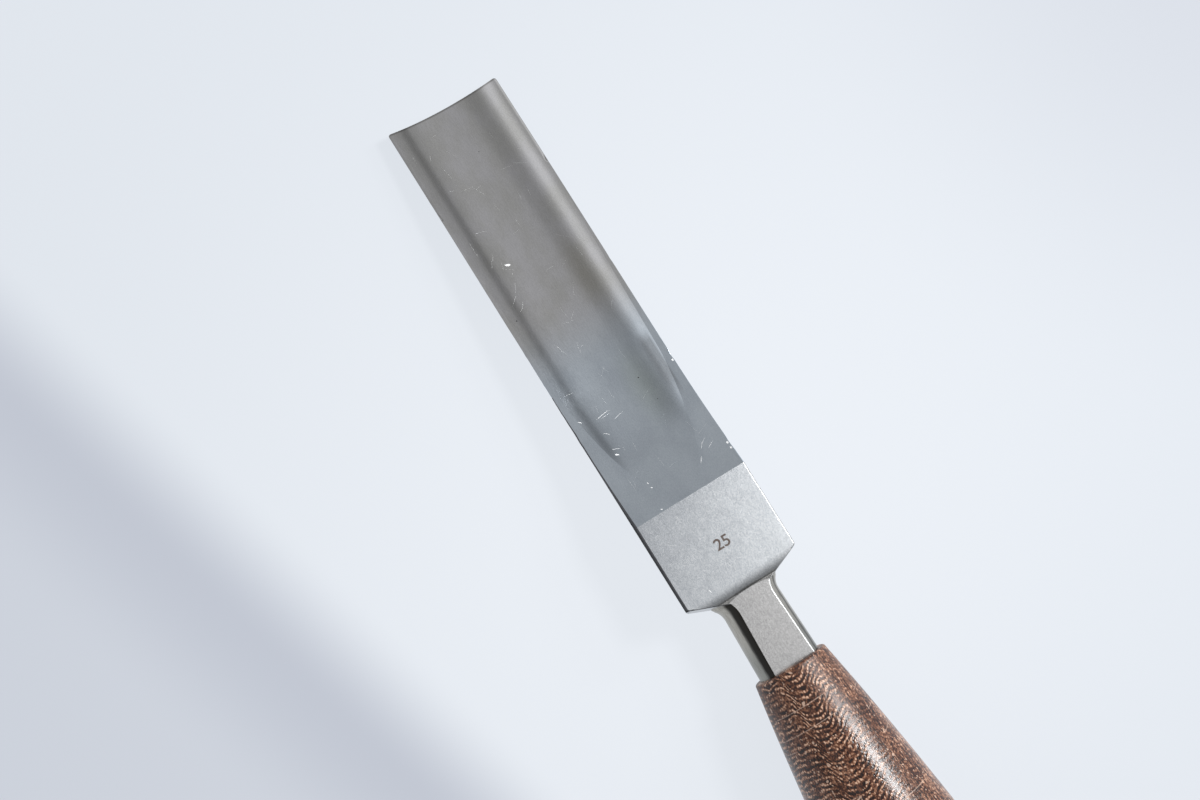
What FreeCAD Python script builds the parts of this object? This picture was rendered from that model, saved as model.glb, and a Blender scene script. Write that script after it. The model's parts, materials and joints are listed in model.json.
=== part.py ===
import FreeCAD, Part
import math
import os
import re
import Sketcher

# Bone gouge, 25 mm: a one-piece steel blade with its neck and tang, set in a turned laminate handle.
# Each piece is drawn along X from the cutting edge at zero, with the axis of neck and handle at zero
# height and the hollow face upwards. The whole gouge is then laid down on its blade and its handle.

Vector = FreeCAD.Vector
doc = FreeCAD.newDocument("BoneGouge")

# Driving sizes in millimetres and degrees. Levels are heights above the axis of the handle.
SIZES = [
    ("blade_width", 25.0, "width of the cutting edge and of the parallel blade"),
    ("blade_length", 111.0, "cutting edge to the outer corners of the shoulder"),
    ("shoulder_drop", 3.2, "outer corner of the shoulder to the flat of the neck, along the gouge"),
    ("plain_length", 18.6, "end of the ground face to the outer corners of the shoulder"),
    ("edge_level", -0.5, "level of the lands at the cutting edge"),
    ("land_slope", 1.6, "angle of the lands against the axis"),
    ("land_sweep", 100.0, "lengthwise curve by which the lands rise to the plain face"),
    ("hollow_radius", 30.0, "cross radius of the hollow"),
    ("hollow_depth", 2.95, "hollow below the lands at the cutting edge"),
    ("hollow_slope", 2.35, "angle of the floor of the hollow against the axis"),
    ("hollow_sweep", 82.0, "lengthwise curve by which the hollow runs out at the grind line"),
    ("edge_thickness", 0.2, "steel left at the cutting edge"),
    ("bevel_length", 9.0, "length of the bevel ground on the back"),
    ("wall_middle", 1.6, "steel under the hollow where the bevel ends"),
    ("wall_side", 1.1, "side of the blade where the bevel ends"),
    ("shoulder_side", 3.0, "side of the blade at the shoulder"),
    ("shoulder_middle", 8.5, "middle of the blade at the shoulder"),
    ("back_flat", 8.0, "flat strip ground along the middle of the round back"),
    ("tip_corner", 0.6, "rounding of the two corners of the cutting edge"),
    ("shoulder_corner", 0.7, "rounding of the two corners of the shoulder"),
    ("neck_root_radius", 6.1, "round of the neck behind the shoulder"),
    ("neck_radius", 6.5, "round of the neck at the handle"),
    ("neck_length", 16.0, "end of the shoulder to the front of the handle"),
    ("neck_flare", 0.4, "widening of the neck right at the shoulder"),
    ("flare_length", 2.5, "length of that widening"),
    ("flat_depth", 1.45, "depth of the flat that is ground into the top of the neck"),
    ("flat_lead", 0.9, "length by which the flat reaches in between the shoulders"),
    ("face_step", 0.65, "plain face of the blade above the flat of the neck"),
    ("roll_radius", 6.0, "rounding of the plain face down to the flat of the neck"),
    ("spine_length", 27.0, "ridge on the back by which the neck dies into the blade"),
    ("spine_radius", 2.6, "front end of that ridge, inside the blade"),
    ("tang_radius", 4.0, "round tang inside the handle"),
    ("tang_length", 56.0, "length of the tang"),
    ("tang_chamfer", 1.5, "bevel on the end of the tang"),
    ("tang_play", 0.08, "cement gap all round the tang"),
    ("bore_spare", 1.5, "depth of the bore past the end of the tang"),
    ("bore_point", 2.4, "depth of the drilled point of the bore"),
    ("front_land", 1.35, "front of the handle standing out all round the neck"),
    ("front_chamfer", 0.5, "bevel on the front edge of the handle"),
    ("handle_taper", 9.6, "angle of the handle's outline against the axis at its front"),
    ("nose_sweep", 710.0, "lengthwise curve of the tapering front of the handle"),
    ("belly_taper", 6.4, "angle of the outline where the belly of the handle begins"),
    ("belly_radius", 15.5, "thickest round of the handle"),
    ("butt_radius", 13.9, "round of the handle where the edge of the struck end is bevelled"),
    ("butt_corner", 5.0, "size of the two bevels round the struck end"),
    ("handle_length", 119.8, "front of the handle to the struck end"),
]
sheet = doc.addObject("Spreadsheet::Sheet", "Sizes")
for row, (alias, size, meaning) in enumerate(SIZES, start=1):
    sheet.set(f"A{row}", meaning)
    sheet.set(f"B{row}", str(size))
    sheet.setAlias(f"B{row}", alias)
doc.recompute()

# Lengths, levels and angles that follow from the sizes, each named once
DERIVED = {
    "half_width": "blade_width / 2",
    "half_flat": "back_flat / 2",
    "overrun": "neck_radius",
    "grind_line": "blade_length - plain_length",
    "neck_start": "blade_length + shoulder_drop",
    "neck_end": "neck_start + neck_length",
    "overall_length": "neck_end + handle_length",
    "flared_radius": "neck_root_radius + neck_flare",
    "flat_level": "neck_root_radius - flat_depth",
    "flat_half": "sqrt(flared_radius ^ 2 - flat_level ^ 2)",
    "flat_start": "neck_start - flat_lead",
    "face_level": "flat_level + face_step",
    "roll_start": "flat_start - sqrt(face_step * (2 * roll_radius - face_step))",
    "hollow_sag": "hollow_radius - sqrt(hollow_radius ^ 2 - half_width ^ 2)",
    "hollow_floor": "edge_level - hollow_depth",
    "bevel_floor": "hollow_floor + bevel_length * tan(hollow_slope * 1 deg)",
    "bevel_back": "bevel_floor - wall_middle",
    "shoulder_angle": "atan(shoulder_drop / (half_width - flat_half))",
    "shoulder_turn": "shoulder_corner * tan(45 deg - shoulder_angle / 2)",
    "spine_start": "neck_start - spine_length",
    "spine_rise": "flared_radius - spine_radius",
    "tang_end": "neck_end + tang_length",
    "bore_radius": "tang_radius + tang_play",
    "bore_end": "tang_end + bore_spare",
    "front_radius": "neck_radius + front_land",
    "nose_start": "neck_end + front_chamfer",
    "nose_end": "nose_start + nose_sweep * (sin(handle_taper * 1 deg) - sin(belly_taper * 1 deg))",
    "nose_radius": "front_radius + nose_sweep * (cos(belly_taper * 1 deg) - cos(handle_taper * 1 deg))",
    "belly_sweep": "(belly_radius - nose_radius) / (1 - cos(belly_taper * 1 deg))",
    "belly_place": "nose_end + belly_sweep * sin(belly_taper * 1 deg)",
    "butt_start": "overall_length - butt_corner",
    "butt_run": "butt_start - belly_place",
    "butt_fall": "belly_radius - butt_radius",
    "butt_sweep": "(butt_run ^ 2 + butt_fall ^ 2) / (2 * butt_fall)",
    "corner_cut": "butt_corner * (1 - cos(45 deg))",
}
# The lands and the floor of the hollow each run straight from the cutting edge, at a slope, until they
# turn into the arc that brings them up to the plain face exactly at the grind line
for name, level, slope, sweep in (("land", "edge_level", "land_slope", "land_sweep"),
                                  ("floor", "hollow_floor", "hollow_slope", "hollow_sweep")):
    DERIVED[f"{name}_rise"] = f"face_level - ({level})"
    DERIVED[f"{name}_along"] = f"grind_line * cos({slope} * 1 deg) + {name}_rise * sin({slope} * 1 deg)"
    DERIVED[f"{name}_above"] = f"{name}_rise * cos({slope} * 1 deg) - grind_line * sin({slope} * 1 deg)"
    DERIVED[f"{name}_straight"] = f"{name}_along - sqrt({name}_above * (2 * {sweep} - {name}_above))"
    DERIVED[f"{name}_turn"] = f"{name}_straight * cos({slope} * 1 deg)"
    DERIVED[f"{name}_turn_level"] = f"{level} + {name}_straight * sin({slope} * 1 deg)"
    DERIVED[f"{name}_outside_level"] = f"{level} - overrun * tan({slope} * 1 deg)"
ALIASES = {alias for alias, size, meaning in SIZES}


def formula(text):
    """Spells out the derived values in an expression and names the sheet of every size."""
    def spell(match):
        word = match.group(0)
        if word in DERIVED:
            return "(" + formula(DERIVED[word]) + ")"
        return "Sizes." + word if word in ALIASES else word
    return re.sub(r"[a-z_]+", spell, text)


def value(text):
    """Works an expression out as a number of millimetres or degrees."""
    return float(sheet.evalExpression(formula(text)))


def origin_part(body, role):
    return next(item for item in body.Origin.OriginFeatures if item.Role == role)


def sketch_on(body, role, name, offset=None):
    """Starts a sketch on one of the body's own origin planes, moved along its normal by an offset."""
    sketch = body.newObject("Sketcher::SketchObject", name)
    sketch.AttachmentSupport = (origin_part(body, role), [""])
    sketch.MapMode = "FlatFace"
    if offset:
        sketch.setExpression("AttachmentOffset.Base.z", formula(offset))
    return sketch


def drive(sketch, constraint, text):
    """Adds a sized constraint and binds it to an expression of the sheet."""
    index = sketch.addConstraint(Sketcher.Constraint(*constraint, value(text)))
    sketch.setExpression(f"Constraints[{index}]", formula(text))


def fix_point(sketch, edge, end, place):
    """Fixes an end of an edge by its two distances; a place on an axis is tied to that axis."""
    for axis, kind, text in ((-2, "DistanceX", place[0]), (-1, "DistanceY", place[1])):
        if text == "0":
            sketch.addConstraint(Sketcher.Constraint("PointOnObject", edge, end, axis))
        else:
            drive(sketch, (kind, -1, 1, edge, end), text)


def arc_between(start, finish, radius):
    """Makes the shorter arc between two points, which turns left for a radius above zero and right below."""
    chord = finish - start
    turn = math.copysign(1.0, radius)
    inward = Vector(-chord.y, chord.x, 0).normalize() * turn
    centre = (start + finish) / 2 + inward * math.sqrt(radius ** 2 - (chord.Length / 2) ** 2)
    first, last = (start, finish) if turn > 0 else (finish, start)
    angles = [math.atan2(point.y - centre.y, point.x - centre.x) for point in (first, last)]
    if angles[1] < angles[0]:
        angles[1] += 2 * math.pi
    return Part.ArcOfCircle(Part.Circle(centre, Vector(0, 0, 1), abs(radius)), *angles)


def draw(sketch, corners, arcs=None, closed=True):
    """Joins corners, given as pairs of expressions, by straight edges or arcs.

    arcs maps the number of an arc's first corner to a side, 1 for left or -1 for right, and a radius.
    """
    arcs = arcs or {}
    points = [Vector(value(x), value(y), 0) for x, y in corners]
    count = len(points) if closed else len(points) - 1
    ends = []
    for number in range(count):
        start, finish = points[number], points[(number + 1) % len(points)]
        side, radius = arcs.get(number, (0, None))
        shape = arc_between(start, finish, side * value(radius)) if side else Part.LineSegment(start, finish)
        edge = sketch.addGeometry(shape, False)
        ends.append((edge, 2, 1) if side < 0 else (edge, 1, 2))
        fix_point(sketch, edge, ends[-1][1], corners[number])
        if side:
            drive(sketch, ("Radius", edge), radius)
    for number in range(count if closed else count - 1):
        following = ends[(number + 1) % count]
        sketch.addConstraint(Sketcher.Constraint("Coincident", ends[number][0], ends[number][2], *following[:2]))
    if not closed:
        fix_point(sketch, ends[-1][0], ends[-1][2], corners[-1])


def feature(body, kind, name, profile, **settings):
    """Adds a feature to the body and works it out; one that cuts must take material away."""
    takes_away = kind in ("Pocket", "SubtractivePipe")
    before = body.Shape.Volume if takes_away else None
    item = body.newObject(f"PartDesign::{kind}", name)
    item.Profile = profile
    for key, setting in settings.items():
        setattr(item, key, setting)
    doc.recompute()
    if takes_away and not item.Shape.Volume < before:
        raise RuntimeError(f"{name} took nothing away")
    return item


def blade_section(name, place, corner_level, middle_level):
    """Draws a section across the blade: flat on top, upright sides, round back with a flat strip."""
    sag = f"({corner_level} - ({middle_level}))"
    back_round = f"sqrt(half_flat ^ 2 + ((half_width ^ 2 - half_flat ^ 2 + {sag} ^ 2) / (2 * {sag})) ^ 2)"
    top = "face_level + overrun"
    sketch = sketch_on(blade, "YZ_Plane", name, place)
    draw(sketch, [("half_width", top), ("-1 * half_width", top), ("-1 * half_width", corner_level),
                  ("-1 * half_flat", middle_level), ("half_flat", middle_level), ("half_width", corner_level)],
         {2: (1, back_round), 4: (1, back_round)})
    return sketch


def blade_outline():
    """Gives the plan of the blade, counter-clockwise: two tip corners and two sloping shoulders."""
    half = {}
    for side in (-1, 1):
        half[side] = [("0", f"{side} * (half_width - tip_corner)"),
                      ("tip_corner", f"{side} * half_width"),
                      ("blade_length - shoulder_turn", f"{side} * half_width"),
                      ("blade_length + shoulder_turn * sin(shoulder_angle)",
                       f"{side} * (half_width - shoulder_turn * cos(shoulder_angle))"),
                      ("neck_start", f"{side} * flat_half"),
                      ("neck_start + overrun", f"{side} * flat_half")]
    return half[-1] + half[1][::-1]


# Blade blank: thin at the cutting edge, then thickening from the end of the bevel to the shoulder
blade = doc.addObject("PartDesign::Body", "Blade")
blade.Label = "blade"
edge_section = blade_section("EdgeSection", None, "hollow_floor + hollow_sag - edge_thickness",
                             "hollow_floor - edge_thickness")
bevel_section = blade_section("BevelSection", "bevel_length", "bevel_floor + hollow_sag - wall_side", "bevel_back")
end_section = blade_section("EndSection", "neck_start", "face_level - shoulder_side", "face_level - shoulder_middle")
feature(blade, "AdditiveLoft", "Blank", edge_section, Sections=[bevel_section, end_section], Ruled=True)

# Plan of the blade: everything outside its outline is cut away
plan = sketch_on(blade, "XY_Plane", "Plan")
draw(plan, blade_outline(), {0: (1, "tip_corner"), 2: (1, "shoulder_corner"), 8: (1, "shoulder_corner"),
                             10: (1, "tip_corner")})
draw(plan, [("-1 * overrun", "-1 * blade_width"), ("neck_start + 2 * overrun", "-1 * blade_width"),
            ("neck_start + 2 * overrun", "blade_width"), ("-1 * overrun", "blade_width")])
feature(blade, "Pocket", "PlanCut", plan, Type="ThroughAll", SideType="Symmetric")

# Neck and tang, round about the axis, with the ridge by which the neck dies into the back of the blade
shank_half = sketch_on(blade, "XZ_Plane", "ShankHalf")
draw(shank_half, [("spine_start", "0"), ("spine_start", "spine_radius"), ("neck_start", "flared_radius"),
                  ("neck_start + flare_length", "neck_root_radius"), ("neck_end", "neck_radius"),
                  ("neck_end", "tang_radius"), ("tang_end - tang_chamfer", "tang_radius"),
                  ("tang_end", "tang_radius - tang_chamfer"), ("tang_end", "0")],
     {1: (-1, "(spine_length ^ 2 + spine_rise ^ 2) / (2 * spine_rise)")})
feature(blade, "Revolution", "Shank", shank_half, ReferenceAxis=(origin_part(blade, "X_Axis"), [""]), Angle=360)

# Front of the blade: the lands sweep up to the plain face, which rolls down to the flat of the neck
front = sketch_on(blade, "XZ_Plane", "Front")
draw(front, [("-1 * overrun", "land_outside_level"), ("land_turn", "land_turn_level"), ("grind_line", "face_level"),
             ("roll_start", "face_level"), ("flat_start", "flat_level"), ("neck_end", "flat_level"),
             ("neck_end", "face_level + 2 * overrun"), ("-1 * overrun", "face_level + 2 * overrun")],
     {1: (1, "land_sweep"), 3: (-1, "roll_radius")})
feature(blade, "Pocket", "FrontCut", front, Type="ThroughAll", SideType="Symmetric")

# Hollow: a round channel that follows its floor, which rises and runs out at the grind line
hollow_round = sketch_on(blade, "YZ_Plane", "HollowRound", "-1 * overrun")
hollow_centre = "floor_outside_level + hollow_radius"
circle = hollow_round.addGeometry(Part.Circle(Vector(0, value(hollow_centre), 0), Vector(0, 0, 1),
                                              value("hollow_radius")), False)
drive(hollow_round, ("Radius", circle), "hollow_radius")
fix_point(hollow_round, circle, 3, ("0", hollow_centre))
hollow_floor = sketch_on(blade, "XZ_Plane", "HollowFloor")
draw(hollow_floor, [("-1 * overrun", "floor_outside_level"), ("floor_turn", "floor_turn_level"),
                    ("grind_line", "face_level")], {1: (1, "hollow_sweep")}, closed=False)
feature(blade, "SubtractivePipe", "Hollow", hollow_round, Spine=(hollow_floor, ["Edge1", "Edge2"]))

# Handle: turned from fabric-reinforced phenolic laminate, with a blind bore for the tang
handle = doc.addObject("PartDesign::Body", "Handle")
handle.Label = "handle"
handle_half = sketch_on(handle, "XZ_Plane", "HandleHalf")
draw(handle_half, [("neck_end", "bore_radius"), ("neck_end", "front_radius - front_chamfer"),
                   ("nose_start", "front_radius"), ("nose_end", "nose_radius"),
                   ("belly_place", "belly_radius"), ("butt_start", "butt_radius"),
                   ("overall_length - corner_cut", "butt_radius - corner_cut"),
                   ("overall_length", "butt_radius - butt_corner"), ("overall_length", "0"),
                   ("bore_end + bore_point", "0"), ("bore_end", "bore_radius")],
     {2: (-1, "nose_sweep"), 3: (-1, "belly_sweep"), 4: (-1, "butt_sweep")})
feature(handle, "Revolution", "Turned", handle_half, ReferenceAxis=(origin_part(handle, "X_Axis"), [""]), Angle=360)

# Rest: the gouge leans forward until the back of its blade and the belly of its handle touch the ground.
# The origin lies at the middle of its length and width, on the ground.
reach = value("belly_place - bevel_length")
depth = value("belly_radius - belly_sweep + bevel_back")
lean_angle = math.atan2(depth, reach) + math.asin(value("belly_sweep") / math.hypot(reach, depth))
lean = FreeCAD.Rotation(Vector(0, 1, 0), -math.degrees(lean_angle))
leaning = Part.makeCompound([blade.Shape, handle.Shape])
leaning.Placement = FreeCAD.Placement(Vector(0, 0, 0), lean)
middle = leaning.optimalBoundingBox(False).Center
ground = value("bevel_back") * math.cos(lean_angle) + value("bevel_length") * math.sin(lean_angle)
for body in (blade, handle):
    body.Placement = FreeCAD.Placement(Vector(-middle.x, -middle.y, -ground), lean)
doc.recompute()

# Nothing is written unless every object and both pieces are sound
for item in doc.Objects:
    if "Invalid" in item.State or "Error" in item.State:
        raise RuntimeError(f"{item.Label} failed: {item.State}")
for body in (blade, handle):
    if body.Shape.isNull() or not body.Shape.isValid() or len(body.Shape.Solids) != 1:
        raise RuntimeError(f"{body.Label} is not one sound solid")
os.makedirs("parts", exist_ok=True)
for body in (blade, handle):
    body.Shape.exportStep(f"parts/{body.Label}.step")
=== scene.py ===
import json
import math
import bmesh
import bpy
import numpy as np
from mathutils import Matrix, Vector


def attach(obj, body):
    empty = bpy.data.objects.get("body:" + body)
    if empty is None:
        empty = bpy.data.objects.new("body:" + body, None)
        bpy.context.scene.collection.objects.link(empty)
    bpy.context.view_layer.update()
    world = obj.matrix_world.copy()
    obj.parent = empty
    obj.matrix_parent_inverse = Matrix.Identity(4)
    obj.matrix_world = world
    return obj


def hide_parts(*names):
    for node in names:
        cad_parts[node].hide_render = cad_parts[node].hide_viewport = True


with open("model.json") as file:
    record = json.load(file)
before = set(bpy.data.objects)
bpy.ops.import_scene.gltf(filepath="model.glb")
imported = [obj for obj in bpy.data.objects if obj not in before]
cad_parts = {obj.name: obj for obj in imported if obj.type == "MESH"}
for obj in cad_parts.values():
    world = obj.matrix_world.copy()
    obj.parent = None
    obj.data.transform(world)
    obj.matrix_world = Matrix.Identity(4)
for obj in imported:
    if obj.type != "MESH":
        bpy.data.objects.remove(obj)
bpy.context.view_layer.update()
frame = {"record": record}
MM = 0.001

# Tool frame of the blade and handle: X from the cutting edge to the struck end, Z out of the hollow, the axis
# of the handle at zero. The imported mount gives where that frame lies.
LENGTH = 250.0
mount = frame["record"]["mounts"][0]
AXIS = np.array(mount["axis"], float)
AXIS /= np.linalg.norm(AXIS)
OUT = np.array([-AXIS[2], 0.0, AXIS[0]])
START = np.array(mount["pos_m"], float) - AXIS * LENGTH * MM
LEAN = math.atan2(AXIS[2], AXIS[0])


def placed(points):
    """Turns tool-frame millimetres into metres of the row frame."""
    p = np.asarray(points, float) * MM
    return START + p[..., :1] * AXIS + p[..., 1:2] * np.array([0.0, 1.0, 0.0]) + p[..., 2:3] * OUT


def in_scene(name, data):
    """Puts a new object into the scene."""
    item = bpy.data.objects.new(name, data)
    bpy.context.scene.collection.objects.link(item)
    return item


# ---------------------------------------------------------------- meshes
class Builder:
    """Collects grids of tool-frame points; every grid has a patch number that marks creases later."""

    def __init__(self):
        self.points, self.faces, self.patches = [], [], []

    def add(self, points):
        start = len(self.points)
        self.points.extend(map(tuple, points))
        return start

    def grid(self, rows, patch, flip=False, closed=False):
        """rows: array (n, m, 3). patch: a number, or a function of the row and column numbers."""
        rows = np.asarray(rows, float)
        n, m = rows.shape[:2]
        start = self.add(rows.reshape(-1, 3))
        for i in range(n - 1):
            for k in range(m if closed else m - 1):
                j = (k + 1) % m
                quad = [start + i * m + k, start + (i + 1) * m + k, start + (i + 1) * m + j, start + i * m + j]
                self.faces.append(quad[::-1] if flip else quad)
                self.patches.append(patch(i, k) if callable(patch) else patch)

    def disc(self, ring, patch, flip=False):
        start = self.add(ring)
        face = list(range(start, start + len(ring)))
        self.faces.append(face[::-1] if flip else face)
        self.patches.append(patch)

    def build(self, name, materials, weld=2e-7):
        mesh = bpy.data.meshes.new(name)
        mesh.from_pydata(placed(np.array(self.points)).tolist(), [], self.faces)
        for material in materials:
            mesh.materials.append(material)
        mesh.polygons.foreach_set("material_index", self.patches)
        bm = bmesh.new()
        bm.from_mesh(mesh)
        bmesh.ops.remove_doubles(bm, verts=bm.verts, dist=weld)
        bmesh.ops.dissolve_degenerate(bm, edges=bm.edges, dist=weld)
        bmesh.ops.recalc_face_normals(bm, faces=bm.faces)
        bm.to_mesh(mesh)
        bm.free()
        return in_scene(name, mesh)


# ---------------------------------------------------------------- forms of the blade, in millimetres
HALF = 12.5
GRIND, CORNER_X, NECK_X, NECK_END = 92.4, 111.0, 114.2, 130.2
FACE, FLAT = 5.3, 4.65
TIP_CORNER, SHOULDER_CORNER = 0.6, 0.7
NECK_R, ROOT_R, FLARE_LENGTH = 6.5, 6.1, 2.5
SPINE_R, SPINE_LENGTH = 2.6, 27.0
TANG_R, TANG_LENGTH, TANG_CHAMFER = 4.0, 56.0, 1.5
FLAT_HALF = math.sqrt(NECK_R ** 2 - FLAT ** 2)
ROLL_R, FLAT_X = 6.0, 113.3
ROLL_X = FLAT_X - math.sqrt((FACE - FLAT) * (2 * ROLL_R - (FACE - FLAT)))
HOLLOW_R = 30.0
# Lands and floor of the hollow: level at the cutting edge, slope in degrees and lengthwise curve
LANDS, FLOOR = (-0.5, 1.6, 100.0), (-3.45, 2.35, 82.0)
BEVEL, BACK_HALF = 9.0, 4.0
# Steel at the sides and in the middle: at the cutting edge, where the bevel ends, and at the neck
WALLS = ((0.2, 0.2), (1.1, 1.6), (3.0, 8.5))
SLANT = math.atan2(NECK_X - CORNER_X, HALF - FLAT_HALF)
CORNER_TURN = SHOULDER_CORNER * math.tan(math.pi / 4 - SLANT / 2)
CORNER_START, CORNER_STOP = CORNER_X - CORNER_TURN, CORNER_X + CORNER_TURN * math.sin(SLANT)


def run_up(x, level, slope, sweep):
    """Height and slope angle of a line that rises at a slope and then turns into an arc up to the plain face."""
    a = math.radians(slope)
    rise = FACE - level
    along = GRIND * math.cos(a) + rise * math.sin(a)
    above = rise * math.cos(a) - GRIND * math.sin(a)
    straight = along - math.sqrt(above * (2 * sweep - above))
    turn, turn_level = straight * math.cos(a), level + straight * math.sin(a)
    sine = np.clip(math.sin(a) + np.maximum(x - turn, 0.0) / sweep, -0.999, 0.999)
    angle = np.arcsin(sine)
    bent = turn_level + sweep * (math.cos(a) - np.cos(angle))
    return np.where(x < turn, level + x * math.tan(a), bent), np.where(x < turn, a, angle)


def land(x):
    """Height of the flat lands on both sides of the hollow."""
    return run_up(np.asarray(x, float), *LANDS)[0]


def hollow(x, y):
    """Height of the hollow, whose round section stands square to its rising floor."""
    x, y = np.broadcast_arrays(np.asarray(x, float), np.asarray(y, float))
    sag = HOLLOW_R - np.sqrt(HOLLOW_R ** 2 - y ** 2)
    px = x.copy()
    for _ in range(8):
        px = x + np.sin(run_up(px, *FLOOR)[1]) * sag
    level, angle = run_up(px, *FLOOR)
    return level + np.cos(angle) * sag


def hollow_edge(x):
    """Half width at which the hollow meets the lands."""
    low, high = np.zeros_like(x), np.full_like(x, 14.0)
    for _ in range(50):
        mid = (low + high) / 2
        inside = hollow(x, mid) < land(x)
        low, high = np.where(inside, mid, low), np.where(inside, high, mid)
    return low


def outline(x):
    """Half width of the blade's plan, and how square its edge stands to the width."""
    if x < TIP_CORNER:
        return HALF - TIP_CORNER + math.sqrt(max(TIP_CORNER ** 2 - (TIP_CORNER - x) ** 2, 0.0)), 1.0
    if x < CORNER_START:
        return HALF, 1.0
    if x < CORNER_STOP:
        past = x - CORNER_START
        square = math.sqrt(max(1 - (past / SHOULDER_CORNER) ** 2, 0.0))
        return HALF - SHOULDER_CORNER + math.sqrt(max(SHOULDER_CORNER ** 2 - past ** 2, 0.0)), max(square, 0.3)
    if x < NECK_X:
        return FLAT_HALF + (NECK_X - x) / math.tan(SLANT), math.sin(SLANT)
    return FLAT_HALF - (x - NECK_X), 1.0


def section_back(y, corner, middle):
    """Height of the back across a section: a flat strip in the middle and round flanks."""
    sag = corner - middle
    rise = (HALF ** 2 - BACK_HALF ** 2 + sag ** 2) / (2 * sag)
    radius = math.sqrt(BACK_HALF ** 2 + rise ** 2)
    flank = middle + rise - np.sqrt(radius ** 2 - np.minimum(y * y, HALF ** 2))
    return np.where(np.abs(y) < BACK_HALF, middle, flank)


def back(x, y):
    """Height of the back: thin at the cutting edge, then thickening from the end of the bevel to the neck."""
    sag = HOLLOW_R - math.sqrt(HOLLOW_R ** 2 - HALF ** 2)
    level = FLOOR[0]
    bevel_level = level + BEVEL * math.tan(math.radians(FLOOR[1]))
    tops = ((level + sag, level), (bevel_level + sag, bevel_level), (FACE, FACE))
    first, second, third = (section_back(y, high - side, low - middle)
                            for (high, low), (side, middle) in zip(tops, WALLS))
    if x < BEVEL:
        return first + (second - first) * (x / BEVEL)
    return second + (third - second) * min((x - BEVEL) / (NECK_X - BEVEL), 1.0)


def face(x):
    """Level of the plain face, rolling down to the flat of the neck."""
    if x < ROLL_X:
        return FACE
    if x < FLAT_X:
        return FACE - ROLL_R + math.sqrt(ROLL_R ** 2 - (x - ROLL_X) ** 2)
    return FLAT


def edge_round(x, side):
    """Rounding of the top edge: fine at first, wider towards the shoulder and most on the right."""
    first, last, more = (86.0, 94.0, 0.25) if side > 0 else (58.0, 76.0, 0.14)
    wide = min(max((x - first) / (last - first), 0.0), 1.0)
    wide = wide * wide * (3 - 2 * wide)
    return (0.10 + more * wide) * (0.5 if x > CORNER_X + 0.3 else 1.0)


# Dents in the long edges: side, place along the blade, depth and half length; the left edge is also ragged
NICKS = ((-1, 35.6, 0.10, 0.7), (-1, 57.4, 0.07, 0.9), (-1, 70.7, 0.12, 0.8), (1, 44.0, 0.05, 0.8),
         (1, 67.0, 0.16, 0.7), (1, 87.0, 0.12, 0.5), (1, 88.2, 0.12, 0.5))
RAGGED_FIRST, RAGGED_LAST, RAGGED_FADE, RAGGED_DEPTH = 44.0, 78.0, 6.0, 0.07
# The walls lean in towards the back, by a length along the blade and one across it
WALL_SLOPE, WALL_DRAFT = 0.45, 0.2


def worn(x, side):
    """How far the long edge is worn in at a place."""
    depth = sum(deep * math.exp(-((x - at) / length) ** 2) for edge, at, deep, length in NICKS if edge == side)
    if side < 0:
        ragged = 0.5 + 0.5 * math.sin(2.3 * x) * math.sin(5.1 * x + 1.0)
        inside = min(max((x - RAGGED_FIRST) / RAGGED_FADE, 0.0), 1.0)
        inside *= min(max((RAGGED_LAST - x) / RAGGED_FADE, 0.0), 1.0)
        depth += RAGGED_DEPTH * ragged * inside
    return depth


HOLLOW_COLS, LAND_COLS, ROUND_COLS = 57, 10, 6
EDGE_TURN = 1 - np.cos(np.linspace(0, math.pi / 2, ROUND_COLS))


def land_places(inner, reach):
    """Places across a land from its outer side; the first two lie close, for clean shading at the round edge."""
    second = inner - min(0.03, (inner - reach) / LAND_COLS)
    return np.concatenate([[inner], np.linspace(second, reach, LAND_COLS)])


def across(x, half, square, reach, ground):
    """Places across the blade at one station: round edge, land, hollow where it is ground, land, round edge."""
    left = min(edge_round(x, -1) / square, half * 0.3)
    right = min(edge_round(x, 1) / square, half * 0.3)
    inner_l, inner_r = half - left, half - right
    reach_l, reach_r = min(reach, inner_l), min(reach, inner_r)
    parts = [-(half - left * EDGE_TURN)[:-1],
             -land_places(inner_l, reach_l)[:-1],
             np.linspace(-reach_l, reach_r, HOLLOW_COLS) if ground else [0.0],
             land_places(inner_r, reach_r)[::-1][1:],
             (half - right * EDGE_TURN)[::-1][1:]]
    return np.concatenate(parts), left, right


def dropped(y, half, left, right, square):
    """How far the rounded edge lies below the face."""
    drop = np.zeros_like(y)
    for side, width in ((-1, left), (1, right)):
        inside = half - side * y
        near = (inside < width) & (side * y > 0)
        radius = width * square
        left_over = radius - np.clip(inside * square, 0, radius)
        drop = np.where(near, radius - np.sqrt(np.maximum(radius ** 2 - left_over ** 2, 0)), drop)
    return drop


def stations(*runs):
    """Joins runs of places along the blade, each as start, end and number of steps."""
    places = [runs[0][0]]
    for start, end, steps in runs:
        places += list(np.linspace(start, end, steps + 1)[1:])
    return np.array(places)


PATCH_NAMES = "hollow land plain round side shoulder bevel back neck_flat neck_round neck_edge tang".split()
PATCH = {name: number for number, name in enumerate(PATCH_NAMES)}
# Stations that close up to the grind line, by their distance before it
RUN_OUT = (7.6, 6.8, 6.0, 5.2, 4.5, 3.8, 3.1, 2.5, 1.9, 1.4, 1.0, 0.65, 0.4, 0.2, 0.08, 0.02, 0.0)
# The end of the slab lies this much above the flat of the neck, for a clean join
JOIN_LIFT = 0.004


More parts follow.
